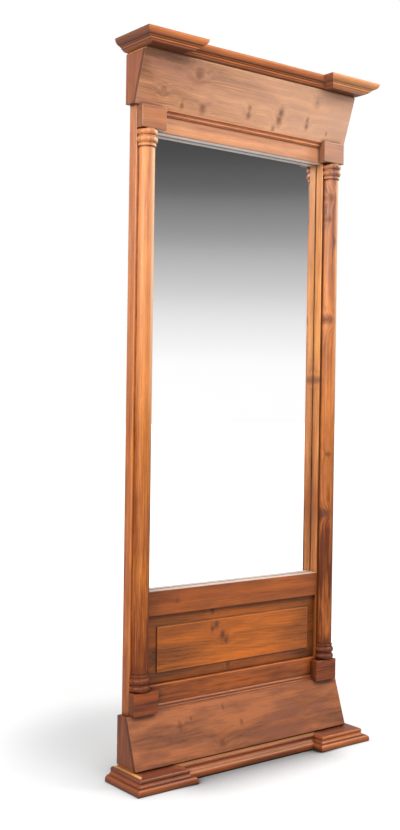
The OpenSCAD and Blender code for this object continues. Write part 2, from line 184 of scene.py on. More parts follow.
def dress(material, *pieces):
    """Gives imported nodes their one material."""
    for piece in pieces:
        mesh = NODES[piece].data
        mesh.materials.clear()
        mesh.materials.append(material)


def srgb(red, green, blue):
    """A linear colour from sRGB values of 0 to 255."""
    def linear(value):
        value /= 255
        return value / 12.92 if value <= 0.04045 else ((value + 0.055) / 1.055) ** 2.4
    return (linear(red), linear(green), linear(blue), 1.0)


def tinted(color, tint):
    """A colour with each of its parts multiplied."""
    return tuple(min(1.0, value * share) for value, share in zip(color[:3], tint)) + (1.0,)


# ---------------------------------------------------------------- pine's figure

# The tree's heart wanders slowly along the board, across it and in depth
HEART_STRETCH = (0.9, 3.0, 3.0)
WANDER_ACROSS, WANDER_DEEP = 0.14, 0.10
HEART_DEPTH = 0.06
RIPPLE_STRETCH = (4.0, 30.0, 30.0)
RIPPLE_SIZE = 0.020
RING_WIDTH = 0.0065
# A ring darkens slowly and ends sharply, by the share of its width
RING_DARKENS, RING_ENDS = (0.15, 0.80), (0.84, 1.0)
# Each pattern is drawn out along the grain by its own amount
PATTERNS = (
    ("Streaks", (1.1, 125.0, 125.0), 4.0),
    ("Clouds", (4.0, 26.0, 26.0), 4.0),
    ("Gold", (3.0, 40.0, 40.0), 4.0),
    ("Rose", (5.0, 16.0, 16.0), 4.0),
    ("Fibres", (12.0, 620.0, 620.0), 3.0),
    ("Pores", (40.0, 1000.0, 1000.0), 1.0),
)
PATTERN_ROUGHNESS = 0.62
PORE_EDGE = (0.60, 0.75)


def build_pine_figure():
    """Growth rings, stain streaks, fibres and pores of a sawn pine board.

    The grain runs along x, and Bend carries it round the knots.
    """
    tree, n, entry, leave = new_group(
        "pine figure",
        [("Place", VECTOR, None), ("Bend", FLOAT, 0.0)],
        [(label, FLOAT) for label in ("Rings", "Streaks", "Clouds", "Gold", "Rose", "Fibres", "Pores")],
    )
    bend = entry["Bend"]
    carried = n.add("ShaderNodeCombineXYZ", {1: bend, 2: bend}).outputs[0]
    place = n.vector("ADD", entry["Place"], carried)
    part = n.split(place)

    drift = n.split(n.noise(place, HEART_STRETCH, 2.0)[1])
    across = n.math("MULTIPLY_ADD", n.centred(drift[1]), WANDER_ACROSS, part[1])
    deep = n.math("MULTIPLY_ADD", n.centred(drift[2]), WANDER_DEEP, part[2])
    deep = n.math("ADD", deep, HEART_DEPTH)
    squares = [n.math("MULTIPLY", side, side) for side in (across, deep)]
    from_heart = n.math("SQRT", n.math("ADD", *squares))
    ripple = n.centred(n.noise(place, RIPPLE_STRETCH, 4.0, 0.6)[0])
    from_heart = n.math("MULTIPLY_ADD", ripple, RIPPLE_SIZE, from_heart)
    phase = n.math("FRACT", n.math("DIVIDE", from_heart, RING_WIDTH))
    rings = n.math("MULTIPLY", n.remap(phase, *RING_DARKENS), n.remap(phase, *RING_ENDS, 1.0, 0.0))

    drawn = {label: n.noise(place, stretch, detail, PATTERN_ROUGHNESS)[0]
             for label, stretch, detail in PATTERNS}
    drawn["Rings"] = rings
    drawn["Pores"] = n.remap(drawn["Pores"], *PORE_EDGE)
    n.send(leave, drawn)
    return tree


KNOT_NOISE_STRETCH = (150.0, 150.0, 150.0)
KNOT_WOBBLE, SMEAR_WOBBLE = 0.9, 1.3
# Distances from a knot's centre, in sizes of the knot
HEART_EDGE, SMEAR_EDGE = (0.35, 0.85), (0.4, 2.2)
BARK_AT, BARK_EDGE = 0.9, (0.05, 0.35)
PULL_POWER, PULL_FALL = 1.3, -0.30


def build_knot():
    """One knot at a known spot: its heart, its bark ring, its smear and its pull.

    Smear is longer across the grain, where the saw has cut along the branch.
    """
    tree, n, entry, leave = new_group(
        "knot",
        [("Place", VECTOR, None), ("Centre", VECTOR, None), ("Stretch", VECTOR, None),
         ("Smear Stretch", VECTOR, None), ("Size", FLOAT, 0.01)],
        [(label, FLOAT) for label in ("Heart", "Bark", "Smear", "Pull")],
    )
    offset = n.vector("SUBTRACT", entry["Place"], entry["Centre"])
    rough = n.centred(n.noise(entry["Place"], KNOT_NOISE_STRETCH, 3.0)[0])

    def distance(stretch, wobble):
        """Distance from the centre in sizes of the knot, made uneven."""
        length = n.vector("LENGTH", n.vector("MULTIPLY", offset, stretch))
        return n.math("MULTIPLY_ADD", rough, wobble, n.math("DIVIDE", length, entry["Size"]))

    away = distance(entry["Stretch"], KNOT_WOBBLE)
    smear_away = distance(entry["Smear Stretch"], SMEAR_WOBBLE)
    fall = n.math("POWER", n.math("MAXIMUM", away, 0.0), PULL_POWER)
    n.send(leave, {
        "Heart": n.remap(away, *HEART_EDGE, 1.0, 0.0),
        "Bark": n.near(away, BARK_AT, *BARK_EDGE),
        "Smear": n.remap(smear_away, *SMEAR_EDGE, 1.0, 0.0),
        "Pull": n.math("EXPONENT", n.math("MULTIPLY", fall, PULL_FALL)),
    })
    return tree


# An arris is where the softened normal turns away from the face's own
ARRIS_TURN = (0.80, 0.985)
PATCH_STRETCH = (30.0, 30.0, 30.0)
PATCH_EDGE, LEAST_WEAR = (0.38, 0.62), 0.25
CORNER_EDGE, CORNER_UNEVEN = (0.12, 0.60), 0.3
# Only arrises with open space round them count as worn
RUBBED_OPENING = (0.55, 0.85)
EDGE_SAMPLES = 6


def build_worn_arris():
    """Masks of the worn arrises and of the darkened corners, and the softened normal."""
    tree, n, entry, leave = new_group(
        "worn arris",
        [("Place", VECTOR, None), ("Width", FLOAT, 0.0016), ("Reach", FLOAT, 0.014)],
        [("Worn", FLOAT), ("Corner", FLOAT), ("Normal", VECTOR)],
    )
    softened = n.add("ShaderNodeBevel", {"Radius": entry["Width"]}, samples=EDGE_SAMPLES).outputs[0]
    true_normal = n.add("ShaderNodeNewGeometry").outputs["True Normal"]
    edge = n.remap(n.vector("DOT_PRODUCT", softened, true_normal), *ARRIS_TURN, 1.0, 0.0)
    patches = n.noise(entry["Place"], PATCH_STRETCH, 4.0)[0]
    spread = n.remap(patches, *PATCH_EDGE, LEAST_WEAR, 1.0)
    opening = n.add("ShaderNodeAmbientOcclusion", {"Distance": entry["Reach"]},
                    samples=EDGE_SAMPLES).outputs["AO"]
    hidden = n.math("SUBTRACT", 1.0, opening)
    corner = n.math("MULTIPLY_ADD", n.centred(patches), CORNER_UNEVEN, hidden)
    edge = n.math("MULTIPLY", edge, n.remap(opening, *RUBBED_OPENING))
    n.send(leave, {
        "Worn": n.math("MULTIPLY", edge, spread, clamp=True),
        "Corner": n.remap(corner, *CORNER_EDGE),
        "Normal": softened,
    })
    return tree


PINE_FIGURE = build_pine_figure()
KNOT = build_knot()
WORN_ARRIS = build_worn_arris()

# ---------------------------------------------------------------- pine

AXES = {"x": 0, "y": 1, "z": 2}
# Turn of a board so that its grain runs along the figure's own x
GRAIN_TURNS = {
    "x": (0.0, 0.0, 0.0),
    "y": (0.0, 0.0, math.radians(90)),
    "z": (0.0, math.radians(90), 0.0),
}
# A knot runs through its board, and a larger number makes it smaller that way
KNOT_STRETCH = {
    "x": (1.05, 0.15, 0.85),
    "y": (0.15, 1.05, 0.85),
    "z": (1.0, 0.15, 0.85),
}
SMEAR_STRETCH = {
    "x": (0.95, 0.12, 0.62),
    "y": (0.12, 0.95, 0.62),
    "z": (0.60, 0.12, 1.0),
}
KNOT_PULL = 1.8
KNOT_COLOR = srgb(104, 56, 36)
BARK_COLOR = srgb(66, 36, 26)
# A painted sheen that pales and pinks the wood where more light falls
PAINTED_SHEEN_COLOR = srgb(226, 190, 168)
ENDS_COLOR = srgb(88, 42, 18)
# Painted shade for faces that look down
SHADED_COLOR = srgb(84, 28, 10)
# Painted highlights for lit bevels, ledges, undersides and the columns' right side
GOLDEN_HIGHLIGHT = srgb(255, 190, 118)
CREAM_HIGHLIGHT = srgb(255, 246, 236)
PEACH_HIGHLIGHT = srgb(255, 208, 164)
# Layers of a knot, and how strongly each one colours the wood
KNOT_LAYERS = (("Smear", 0.45, KNOT_COLOR), ("Heart", 0.55, KNOT_COLOR), ("Bark", 0.22, BARK_COLOR))

# Depth of the stain: 0 is pale, 1 is deep, and dark stain lies beyond it
MEAN_STAIN = 0.42
DEEPEST_STAIN = 1.15
DARK_FROM, DARK_SHARE = 0.95, 0.35
PATTERN_RANGES = {
    "Streaks": (0.34, 0.66), "Clouds": (0.36, 0.64), "Rings": (0.0, 1.0), "Fibres": (0.30, 0.70),
}
STREAKS_SHARE, CLOUDS_SHARE = 0.50, 0.50
FIBRE_SHARE, PORE_SHARE = 0.22, 0.25
GOLD_RANGE, ROSE_RANGE = (0.50, 0.68), (0.50, 0.66)
# Gold shows less where the stain is deep
GOLD_FADES = (0.80, DEEPEST_STAIN, 1.0, 0.3)
DARK_TINT = (0.34, 0.36, 0.40)
GOLDEN_TINT = (1.10, 1.0, 0.60)
ROSY_TINT = (0.92, 0.90, 1.15)
# The tint of the painted highlight on a panel's ridge
RIDGE_TINT = (1.25, 1.2, 1.0)

# How far a face's normal has to turn to an axis, and to an end of the grain
FACES_AXIS, FACES_END = (0.75, 0.95), (0.80, 0.95)
# The share of corner darkening kept on ledges that take a painted highlight
LEDGE_CORNER_DARKENING = 0.15
# The side of the columns where a painted sheen stands for the pale light that falls on them from the
# right
RIM_SHEEN_SIDE = (0.79, -0.61, 0.0)
RIM_SHEEN_TURN = (0.55, 1.0)
# A painted highlight band's blurred sides, its least height below the top, and its uneven share
STRIP_START, STRIP_END = 0.001, 0.002
STRIP_HEIGHT = (-0.001, -0.0005)
STRIP_CLOUDS = (0.36, 0.56, 0.15, 0.75)
# How the painted marks round a moulding and on a lit bevel die away, in shares of their width
LINE_FADE, LIT_FADE = (0.4, 1.4), (0.8, 1.1)

# A panel's border of painted shade, its thin painted shadow and the painted highlight on its ridge, by
# their distance from its inner edge
BORDER_BLUR, BORDER_SHARE = 0.0010, 0.30
BORDER_LINE_AT, BORDER_LINE_FADE, BORDER_LINE_SHARE = -0.0015, (0.0005, 0.0030), 0.55
RIDGE_AT, RIDGE_FADE = 0.0022, (0.0004, 0.0018)
RIDGE_LOW, RIDGE_HIGH = 0.10, 0.60

# The share of wear and painted highlight on open arrises
WORN_AND_LIT_SHARE = 0.35
BARE_GAIN, BARE_LIFT = 1.5, 0.02
COAT_ROUGHNESS = 0.16
FIBRE_ROUGHNESS, WORN_ROUGHNESS = 0.12, 0.08
FIBRE_RELIEF, RING_RELIEF, PORE_RELIEF = 0.35, -0.25, -0.5
GRAIN_BUMP, GRAIN_DEPTH = 0.30, 0.0004


def mark_knots(n, place, knots, along):
    """How knots bend the grain, and the masks of their parts."""
    bend = 0.0
    masks = dict.fromkeys(("Smear", "Heart", "Bark"), 0.0)
    for x, y, z, size, strength in knots:
        knot = n.group(KNOT, {"Place": place, "Centre": (x, y, z), "Stretch": KNOT_STRETCH[along],
                              "Smear Stretch": SMEAR_STRETCH[along], "Size": size})
        bend = n.math("ADD", bend, n.math("MULTIPLY", knot["Pull"], KNOT_PULL * size))
        for label, mask in masks.items():
            masks[label] = n.math("MAXIMUM", mask, n.math("MULTIPLY", knot[label], strength))
    return bend, masks


def stain_depth(n, figure, part, shares, tone_ramps):
    """How deep the stain has gone, plus ramps along the axes, which along z paint light and shade."""
    stain = MEAN_STAIN
    for label, share in shares.items():
        value = n.remap(figure[label], *PATTERN_RANGES[label], -share / 2, share / 2, smooth=False)
        stain = n.math("ADD", value, stain)
    # ramps along z paint light and shade; ramps along x darken or pale one end of the wood
    for axis, start, end, share in tone_ramps:
        stain = n.math("MULTIPLY_ADD", n.remap(part[AXES[axis]], start, end), share, stain)
    return n.math("MAXIMUM", n.math("MINIMUM", stain, DEEPEST_STAIN), 0.0)


def shade_panel_border(n, color, part, border, pale, dark):
    """Paints shade on a panel's border and a thin shadow along its field, with a painted highlight on
    the ridge, brightest towards the top.
    """
    low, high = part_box(border[0])
    middle = (low.z + high.z) / 2
    from_side = n.math("SUBTRACT", high.x, n.math("ABSOLUTE", part[0]))
    from_end = n.math("ABSOLUTE", n.math("SUBTRACT", part[2], middle))
    from_end = n.math("SUBTRACT", (high.z - low.z) / 2, from_end)
    inner = n.math("MINIMUM", from_side, from_end)
    painted_line = n.near(inner, border[1] + BORDER_LINE_AT, *BORDER_LINE_FADE)
    painted_line = n.math("MULTIPLY", painted_line, BORDER_LINE_SHARE)
    outside = n.remap(inner, border[1] - BORDER_BLUR, border[1] + BORDER_BLUR, BORDER_SHARE, 0.0)
    ridge = n.near(inner, border[1] + RIDGE_AT, *RIDGE_FADE)
    ridge = n.math("MULTIPLY", ridge, n.remap(part[2], middle, high.z, RIDGE_LOW, RIDGE_HIGH))
    color = n.mix(ridge, color, tinted(pale, RIDGE_TINT))
    return n.mix(n.math("MAXIMUM", painted_line, outside), color, dark)


def lit_strip_mask(n, figure, part, lit_strip):
    """Mask of an uneven painted highlight band on top of a side moulding, where light falls on its
    ledge.
    """
    start, end, height = lit_strip
    sideways = n.math("ABSOLUTE", part[0])
    lit_ledge = n.math("MULTIPLY", n.remap(sideways, start, start + STRIP_START),
                    n.remap(sideways, end, end + STRIP_END, 1.0, 0.0))
    on_top = n.remap(part[2], *(height + step for step in STRIP_HEIGHT))
    lit_ledge = n.math("MULTIPLY", lit_ledge, on_top)
    return n.math("MULTIPLY", lit_ledge, n.remap(figure["Clouds"], *STRIP_CLOUDS))


def pine(name, stains, along="x", shift=(0.0, 0.0, 0.0), knots=(), rings=0.14, streaks=0.65,
         clouds=0.9, gold=0.45, rose=0.45, corner=0.8, reach=0.016, gloss=0.34, coat=0.10, ior=1.5,
         tone_ramps=(), painted_lines=(), border=None, painted_sheen=None, ends=0.55, under=0.0, ledge=0.0, front=0.0,
         lit_edge=None, highlight_color=GOLDEN_HIGHLIGHT, lit_strip=None, rim_sheen=None):
    """Stained and varnished pine.

    stains has the palest and the deepest stain. along is the grain's way, shift
    picks another part of the tree, and knots are (x, y, z, size, strength).
    rings, streaks, clouds, gold and rose say how strongly each pattern shows.
    corner and reach are for the darkening in corners, partly stain pooled there
    and partly painted shade. gloss is the varnish's roughness, coat its clear
    share and ior how it bends light. tone_ramps has (axis, from, to, share) for
    colour that darkens along an axis, or pales where the share is negative; along
    z they paint light and shade, the light's fall towards the foot and shade in
    bands near the cornice, the caps and the middle rail, and along x they darken
    or pale one end of the wood. painted_lines has (height, half width, share) for
    painted shade round a moulding, or painted highlights where the share is
    negative. border names a panel and how far in its border of painted shade
    reaches. painted_sheen is (axis, from, to, share) for a painted sheen that
    pales the colour towards one end, where more light falls. ends darkens the
    sawn ends; under, ledge and front paint shade on the faces that look down, up
    and forward, and under and ledge below 0 paint a highlight instead, with
    highlight_color. lit_edge is (height, reach, share) of a painted highlight on a
    bevel along a long edge, in highlight_color too. lit_strip is (from, to,
    height) of a painted highlight band on top of a side moulding, where light
    falls on its ledge, by its distance from the middle. rim_sheen is (from, to,
    share) for the heights where a painted sheen pales the right of a column.
    """
    pale, deep = stains
    material, n = new_material(name)
    spot = n.add("ShaderNodeTexCoord").outputs
    place = spot["Object"]
    part = n.split(place)
    facing = n.split(spot["Normal"])
    turned = n.add("ShaderNodeMapping", {"Vector": place, "Location": shift,
                                         "Rotation": GRAIN_TURNS[along]}).outputs[0]
    bend, masks = mark_knots(n, place, knots, along)
    figure = n.group(PINE_FIGURE, {"Place": turned, "Bend": bend})
    arris = n.group(WORN_ARRIS, {"Place": place, "Reach": reach})

    shares = {"Streaks": STREAKS_SHARE * streaks, "Clouds": CLOUDS_SHARE * clouds,
              "Rings": rings, "Fibres": FIBRE_SHARE}
    stain = stain_depth(n, figure, part, shares, tone_ramps)
    dark = tinted(deep, DARK_TINT)
    golden = tinted(pale, GOLDEN_TINT)
    rosy = tinted([(light + low) / 2 for light, low in zip(pale, deep)], ROSY_TINT)
    color = n.mix(n.math("MINIMUM", stain, 1.0), pale, deep)
    color = n.mix(n.remap(stain, DARK_FROM, DEEPEST_STAIN, 0.0, DARK_SHARE), color, dark)
    warm = n.math("MULTIPLY", n.remap(figure["Gold"], *GOLD_RANGE), n.remap(stain, *GOLD_FADES))
    color = n.mix(n.math("MULTIPLY", warm, gold), color, golden)
    cool = n.remap(figure["Rose"], *ROSE_RANGE)
    color = n.mix(n.math("MULTIPLY", cool, rose), color, rosy)
    color = n.mix(n.math("MULTIPLY", figure["Pores"], PORE_SHARE), color, dark)
    # a painted sheen pales the colour towards one end, where more light falls
    if painted_sheen is not None:
        axis, start, end, share = painted_sheen
        sheen_share = n.remap(part[AXES[axis]], start, end, 0.0, share, smooth=False)
        color = n.mix(sheen_share, color, PAINTED_SHEEN_COLOR)
    if knots:
        for label, share, layer_color in KNOT_LAYERS:
            color = n.mix(n.math("MULTIPLY", masks[label], share), color, layer_color)
    # a panel's border takes painted shade and its ridge a painted highlight
    if border is not None:
        color = shade_panel_border(n, color, part, border, pale, dark)
    # painted shade round a moulding, or a painted highlight where the share is below 0
    for height, half, share in painted_lines:
        painted_line = n.near(part[2], height, *(half * width for width in LINE_FADE), abs(share))
        color = n.mix(painted_line, color, dark if share > 0.0 else golden)
    across = n.math("ABSOLUTE", facing[AXES[along]])
    color = n.mix(n.remap(across, *FACES_END, 0.0, ends), color, ENDS_COLOR)
    # painted shade on faces that look down or up, or a painted highlight where the share is below 0
    for share, way in ((under, -1.0), (ledge, 1.0)):
        if share != 0.0:
            start, end = (way * turn for turn in FACES_AXIS)
            painted_tone = SHADED_COLOR if share > 0.0 else highlight_color
            color = n.mix(n.remap(facing[2], start, end, 0.0, abs(share)), color, painted_tone)
    # painted shade on faces that look forward
    if front > 0.0:
        start, end = (-turn for turn in FACES_AXIS)
        color = n.mix(n.remap(facing[1], start, end, 0.0, front), color, dark)
    # a painted sheen on the right side of a column, where pale light falls
    if rim_sheen is not None:
        start, end, share = rim_sheen
        rightward = n.vector("DOT_PRODUCT", spot["Normal"], RIM_SHEEN_SIDE)
        rim_share = n.math("MULTIPLY", n.remap(rightward, *RIM_SHEEN_TURN),
                       n.remap(part[2], start, end, 0.0, share))
        color = n.mix(rim_share, color, PEACH_HIGHLIGHT)
    # a painted highlight band on the ledge of a side moulding, where light falls
    if lit_strip is not None:
        color = n.mix(lit_strip_mask(n, figure, part, lit_strip), color, GOLDEN_HIGHLIGHT)

    # corners darken, partly with stain pooled there and partly with painted shade; this stays off
    # ledges and edges that take a painted highlight
    corner_darkening = n.math("MULTIPLY", arris["Corner"], corner)
    if ledge < 0.0:
        corner_darkening = n.math("MULTIPLY", corner_darkening, n.remap(facing[2], *FACES_AXIS, 1.0, LEDGE_CORNER_DARKENING))
    # a painted highlight on a bevel along a long edge
    if lit_edge is not None:
        height, bevel, share = lit_edge
        lit = n.near(part[2], height, *(bevel * width for width in LIT_FADE))
        color = n.mix(n.math("MULTIPLY", lit, share), color, highlight_color)
        corner_darkening = n.math("MULTIPLY", corner_darkening, n.math("SUBTRACT", 1.0, lit))
    color = n.mix(corner_darkening, color, dark)
    # open arrises pale, partly worn through the varnish and partly a painted highlight along lit edges
    bare_and_lit = tuple(min(1.0, BARE_GAIN * value + BARE_LIFT) for value in pale[:3]) + (1.0,)
    color = n.mix(n.math("MULTIPLY", arris["Worn"], WORN_AND_LIT_SHARE), color, bare_and_lit)

    rough = n.math("MULTIPLY_ADD", figure["Fibres"], FIBRE_ROUGHNESS, gloss)
    rough = n.math("MULTIPLY_ADD", arris["Worn"], WORN_ROUGHNESS, rough)
    relief = n.math("MULTIPLY", figure["Fibres"], FIBRE_RELIEF)
    relief = n.math("MULTIPLY_ADD", figure["Rings"], RING_RELIEF, relief)
    relief = n.math("MULTIPLY_ADD", figure["Pores"], PORE_RELIEF, relief)
    bump = n.add("ShaderNodeBump", {"Strength": GRAIN_BUMP, "Distance": GRAIN_DEPTH, "Height": relief,
                                    "Normal": arris["Normal"]}).outputs[0]
    n.output(n.add("ShaderNodeBsdfPrincipled", {
        "Base Color": color, "Roughness": rough, "Normal": bump, "IOR": ior,
        "Coat Weight": coat, "Coat Roughness": COAT_ROUGHNESS,
    }))
    return material


# ---------------------------------------------------------------- stains and painted light

# The palest and the deepest stain of each wood
# The next two are paler and pinker, partly their own stain and partly a painted sheen where light falls
# at the top
FRIEZE = srgb(216, 154, 110), srgb(138, 88, 60)
TOP = srgb(210, 146, 104), srgb(144, 90, 60)
TOP_BEAD = srgb(222, 142, 92), srgb(150, 84, 50)
CAP = srgb(176, 110, 68), srgb(108, 62, 38)
FRAME = srgb(190, 102, 45), srgb(94, 45, 22)
STILE = srgb(222, 134, 70), srgb(132, 60, 18)
# The next is the stile's stain made paler, to paint the light falling on the right stile's reveal
REVEAL = srgb(246, 168, 96), srgb(160, 84, 26)
LEFT_COLUMN = srgb(232, 144, 66), srgb(124, 52, 8)
RIGHT_COLUMN = srgb(214, 128, 60), srgb(110, 46, 8)
CORNICE = srgb(242, 146, 80), srgb(166, 82, 40)
# The next is the cornice's stain made paler, to paint the light falling on the cornice's right end
LIT_CORNICE = srgb(255, 180, 120), srgb(226, 130, 78)
MOULDING = srgb(176, 92, 40), srgb(82, 36, 14)
PLINTH_BEAD = srgb(192, 106, 46), srgb(102, 50, 22)
# The next is the moulding's stain made paler, to paint the light falling on the base's right end
LIT_BASE = srgb(208, 118, 56), srgb(116, 56, 24)
CHEEK = srgb(164, 96, 62), srgb(104, 58, 38)
LOW_CHEEK = srgb(156, 82, 44), srgb(88, 44, 22)
FOOT = srgb(166, 82, 40), srgb(72, 36, 20)
PLINTH = srgb(181, 108, 66), srgb(88, 52, 37)
PANEL = srgb(224, 120, 38), srgb(92, 50, 22)
RAW = srgb(214, 178, 130), srgb(176, 132, 84)

# Knots that the photo shows, as (x, y, z, size, strength)
FRIEZE_KNOTS = [
    (-0.190, 0.000, 1.835, 0.0120, 0.7), (-0.160, 0.028, 1.754, 0.0070, 0.8),
    (-0.227, 0.027, 1.751, 0.0045, 0.9), (-0.292, 0.017, 1.781, 0.0065, 0.4),
    (-0.004, 0.020, 1.781, 0.0050, 0.7), (-0.003, 0.020, 1.763, 0.0058, 0.8),
    (0.109, 0.020, 1.786, 0.0070, 1.0), (0.107, 0.020, 1.767, 0.0080, 1.0),
    (0.092, 0.031, 1.742, 0.0050, 0.7), (0.210, 0.019, 1.781, 0.0048, 0.8),
    (0.212, 0.019, 1.765, 0.0052, 0.9), (0.292, 0.020, 1.757, 0.0028, 1.0),
    (0.232, 0.000, 1.832, 0.0080, 0.4),
]
PLINTH_KNOTS = [
    (-0.210, 0.018, 0.126, 0.0060, 1.0), (-0.006, 0.010, 0.104, 0.0045, 0.8),
    (-0.083, -0.002, 0.064, 0.0075, 0.8), (-0.172, 0.022, 0.138, 0.0035, 0.9),
    (-0.060, 0.026, 0.150, 0.0040, 0.9),
]
PANEL_KNOTS = [
    (-0.070, 0.047, 0.373, 0.0060, 1.5), (-0.084, 0.047, 0.362, 0.0050, 1.3),
    (-0.048, 0.047, 0.342, 0.0065, 1.5), (-0.036, 0.047, 0.327, 0.0055, 1.2),
    (-0.080, 0.050, 0.411, 0.0050, 1.4), (-0.024, 0.050, 0.256, 0.0055, 1.3),
]
RIGHT_COLUMN_KNOTS = [
    (0.310, 0.024, 1.222, 0.0100, 1.2), (0.312, 0.024, 0.658, 0.0080, 1.2),
    (0.308, 0.024, 1.513, 0.0055, 1.0), (0.334, 0.024, 1.450, 0.0050, 1.0),
    (0.312, 0.024, 1.575, 0.0080, 0.9), (0.316, 0.024, 0.830, 0.0040, 0.9),
]
MIDDLE_RAIL_KNOTS = [(-0.206, 0.0435, 0.453, 0.004, 0.8)]
RIGHT_STILE_KNOTS = [(0.300, 0.050, 1.046, 0.009, 0.9)]

# Heights of the painted highlights on the bevels above the raked boards and below them, and a bevel's
# reach
CORNICE_FOOT, BASE_TOP, BEVEL = 1.870, 0.036, 0.0048
# Painted shade in the quirks and along the outer edges of the mouldings, and painted highlights where
# the share is below 0, as (height, half width, share)
CORNICE_PAINTED_LINES = [
    (1.8994, 0.0016, 0.65), (1.8830, 0.0014, 0.45), (1.8802, 0.0009, 0.10), (1.8752, 0.0012, 0.30),
    (1.8905, 0.0055, 0.32), (1.8962, 0.0010, -0.25), (1.8785, 0.0014, -0.25),
]
BASE_PAINTED_LINES = [
    (0.0000, 0.0040, 0.60), (0.0180, 0.0014, 0.30), (0.0272, 0.0014, 0.35), (0.0150, 0.0014, -0.45),
    (0.0232, 0.0012, -0.30), (0.0085, 0.0010, 0.30),
]
# A painted highlight along the top of the bottom rail
BOTTOM_RAIL_HIGHLIGHT = (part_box("bottom_rail")[1].z - 0.001, 0.0020, -0.6)
COLUMN_FINISH = {"along": "z", "reach": 0.03, "ends": 0.0, "corner": 1.0, "gloss": 0.40, "coat": 0.03,
                 "ior": 1.42}

dress(
    pine("frieze_pine", FRIEZE, shift=(0.3, -0.02, 0.0), knots=FRIEZE_KNOTS, gold=0.35, rose=0.55,
         painted_sheen=("x", -0.35, 0.40, 0.42), lit_edge=(CORNICE_FOOT, BEVEL, 0.45), highlight_color=PEACH_HIGHLIGHT,
         ends=0.8, tone_ramps=[("x", -0.05, -0.42, 0.50), ("z", 1.79, 1.87, 0.18),
                           ("x", -0.02, 0.10, -0.24), ("x", 0.22, 0.34, 0.20)]),
    "frieze_board")
dress(
    pine("middle_rail_pine", FRAME, shift=(1.4, 0.3, 0.02), knots=MIDDLE_RAIL_KNOTS, reach=0.03,
         ledge=-0.65, highlight_color=CREAM_HIGHLIGHT, ior=1.42,
         tone_ramps=[("z", 0.40, 0.50, 0.06), ("x", -0.12, -0.28, 0.15)]),
    "middle_rail")
dress(
    pine("bottom_rail_pine", FRAME, shift=(0.4, 1.3, 0.02), reach=0.03, gold=0.8, rose=0.25,
         clouds=1.2, ior=1.40, painted_lines=[BOTTOM_RAIL_HIGHLIGHT],
         tone_ramps=[("z", 0.30, 0.20, 0.20), ("x", -0.24, -0.30, 0.40)]),
    "bottom_rail")
dress(
    pine("top_pine", TOP, shift=(0.5, 0.3, 0.05), gold=0.3, under=-0.9, highlight_color=CREAM_HIGHLIGHT),
    "top_rail")
dress(pine("bead_pine", TOP_BEAD, shift=(0.1, 0.6, 0.05), gold=0.3), "frieze_bead")
dress(
    pine("left_stile_pine", STILE, along="z", shift=(0.7, 0.1, 0.02), ends=0.0, reach=0.03,
         corner=0.9, rose=0.25, painted_sheen=("z", 0.9, 1.7, 0.14),
         tone_ramps=[("z", 1.15, 0.30, 0.22), ("z", 1.2, 1.7, 0.25)]),
    "left_stile")
dress(
    pine("right_stile_pine", REVEAL, along="z", shift=(0.2, 0.4, 0.02), knots=RIGHT_STILE_KNOTS,
         ends=0.0, front=1.0, corner=0.4, rose=0.2, painted_sheen=("z", 1.2, 1.7, 0.16),
         tone_ramps=[("z", 1.30, 0.40, 0.50), ("z", 1.20, 1.50, 0.10), ("z", 0.475, 0.44, 0.60)]),
    "right_stile")
dress(
    pine("panel_pine", PANEL, shift=(2.1, -0.31, 0.0), knots=PANEL_KNOTS, reach=0.03,
         border=("raised_panel", 0.037), gold=0.5, rose=0.6, streaks=0.45, clouds=0.8, ior=1.44,
         tone_ramps=[("x", -0.04, -0.22, 0.26), ("x", 0.12, 0.29, 0.35)]),
    "raised_panel")
dress(
    pine("left_column_pine", LEFT_COLUMN, shift=(3.3, 0.2, 0.01), rose=0.1, gold=0.5,
         painted_sheen=("z", 0.9, 1.35, 0.13), rim_sheen=(0.70, 1.30, 0.85),
         tone_ramps=[("z", 1.32, 0.40, 0.43), ("z", 0.31, 0.26, 0.50), ("z", 1.40, 1.56, 0.12)],
         **COLUMN_FINISH),
    "left_column")
dress(
    pine("right_column_pine", RIGHT_COLUMN, shift=(3.7, 0.5, 0.01), knots=RIGHT_COLUMN_KNOTS,
         streaks=1.2, clouds=1.5, gold=0.8, rose=0.5, painted_sheen=("z", 0.9, 1.6, 0.14),
         rim_sheen=(0.80, 1.40, 0.75),
         tone_ramps=[("z", 0.85, 0.35, 0.62), ("z", 0.31, 0.26, 0.40), ("z", 1.38, 1.55, 0.40)],
         **COLUMN_FINISH),
    "right_column")
dress(
    pine("left_cap_pine", CAP, shift=(0.9, 0.7, 0.03), gold=0.3, ends=0.35, clouds=1.4, streaks=1.0),
    "left_cap_block")
dress(
    pine("right_cap_pine", CAP, shift=(0.4, 0.7, 0.03), gold=0.2, clouds=1.4, streaks=1.0,
         painted_sheen=("x", 0.0, 0.40, 0.21)),
    "right_cap_block")
dress(
    pine("foot_pine", FOOT, shift=(0.2, 0.3, 0.03), reach=0.03, rose=0.5, gold=0.7, clouds=1.2,
         ior=1.40),
    "left_foot_block", "right_foot_block")
dress(
    pine("cornice_pine", CORNICE, shift=(1.9, 0.5, 0.04), under=0.9, reach=0.03, corner=0.55,
         painted_lines=CORNICE_PAINTED_LINES),
    "cornice_middle_moulding", "left_cornice_front_moulding", "left_cornice_packing",
    "right_cornice_packing")
dress(
    pine("lit_cornice_pine", LIT_CORNICE, shift=(0.6, 0.2, 0.04), under=0.2, corner=0.45,
         painted_lines=CORNICE_PAINTED_LINES),
    "right_cornice_front_moulding")
dress(
    pine("cornice_side_pine", CHEEK, along="y", shift=(0.2, 0.9, 0.04), painted_lines=CORNICE_PAINTED_LINES),
    "left_cornice_side_moulding", "right_cornice_side_moulding", "left_cornice_return",
    "right_cornice_return")
dress(
    pine("base_pine", MOULDING, shift=(2.9, 0.1, 0.04), painted_lines=BASE_PAINTED_LINES, ledge=-0.25, corner=0.35),
    "base_middle_moulding")
